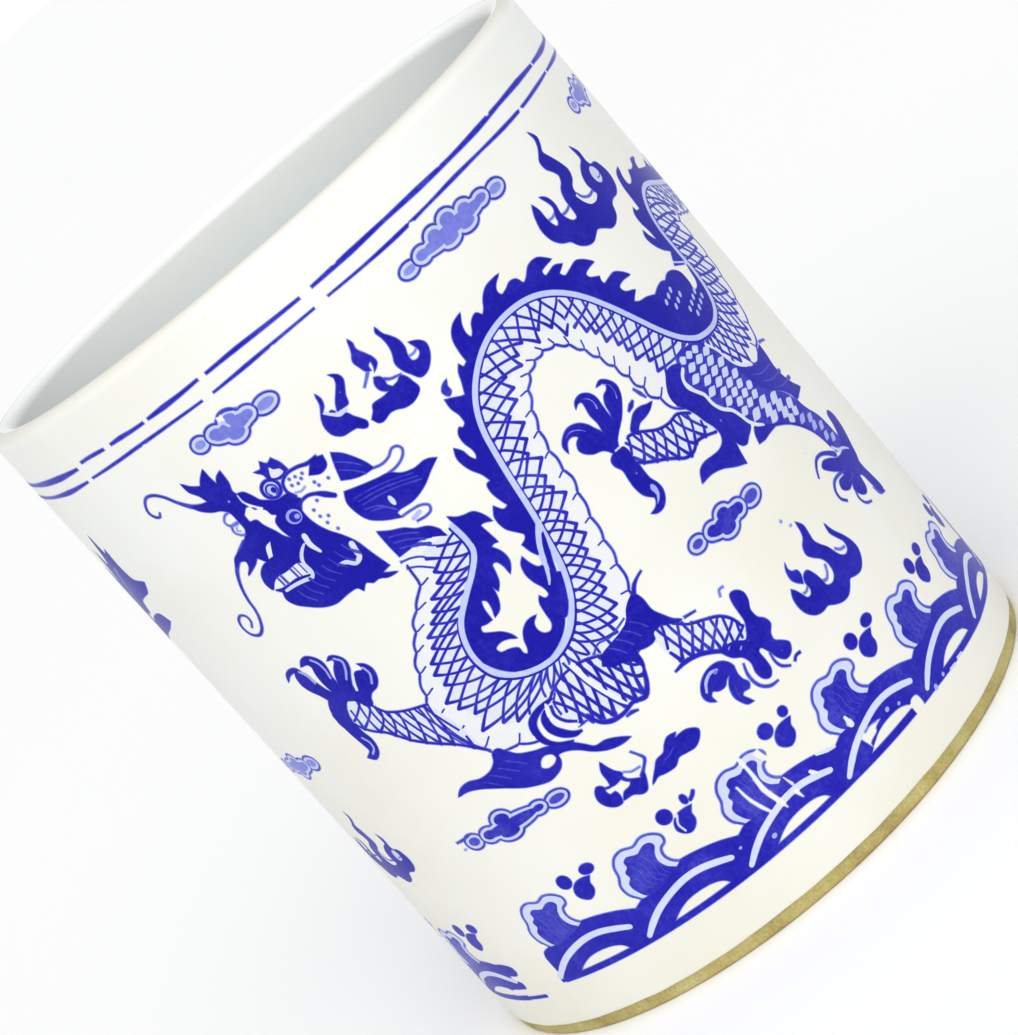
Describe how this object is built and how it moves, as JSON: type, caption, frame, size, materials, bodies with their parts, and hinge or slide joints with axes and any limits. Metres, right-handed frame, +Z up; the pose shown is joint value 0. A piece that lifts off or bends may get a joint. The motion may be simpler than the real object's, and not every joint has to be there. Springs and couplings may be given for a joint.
{
  "type": "brush pot",
  "caption": "Straight round glazed porcelain pot on a bare foot ring, with a blue underglaze print of a dragon, clouds, flames and waves; it holds brushes, pens or chopsticks upright.",
  "frame": {"origin": "centre of the foot ring's underside, on the table", "axes": "+Z up along the pot's axis, -Y towards the middle of the front print"},
  "size_m": [0.1002, 0.1002, 0.12],
  "materials": {
    "biscuit": "matte",
    "porcelain": "matte",
    "glaze": "gloss",
    "cobalt": "gloss"
  },
  "bodies": {
    "root": {"foot_ring": "biscuit", "porcelain_wall": "porcelain", "floor_slab": "porcelain", "outer_glaze": "glaze", "inner_glaze": "glaze", "base_glaze": "glaze", "rim_line_upper": "cobalt", "rim_line_lower": "cobalt", "front_dragon": "cobalt", "back_dragon": "cobalt", "front_clouds": "cobalt", "back_clouds": "cobalt", "front_flames": "cobalt", "back_flames": "cobalt", "front_waves": "cobalt", "back_waves": "cobalt", "front_drops": "cobalt", "back_drops": "cobalt"}
  },
  "joints": []
}
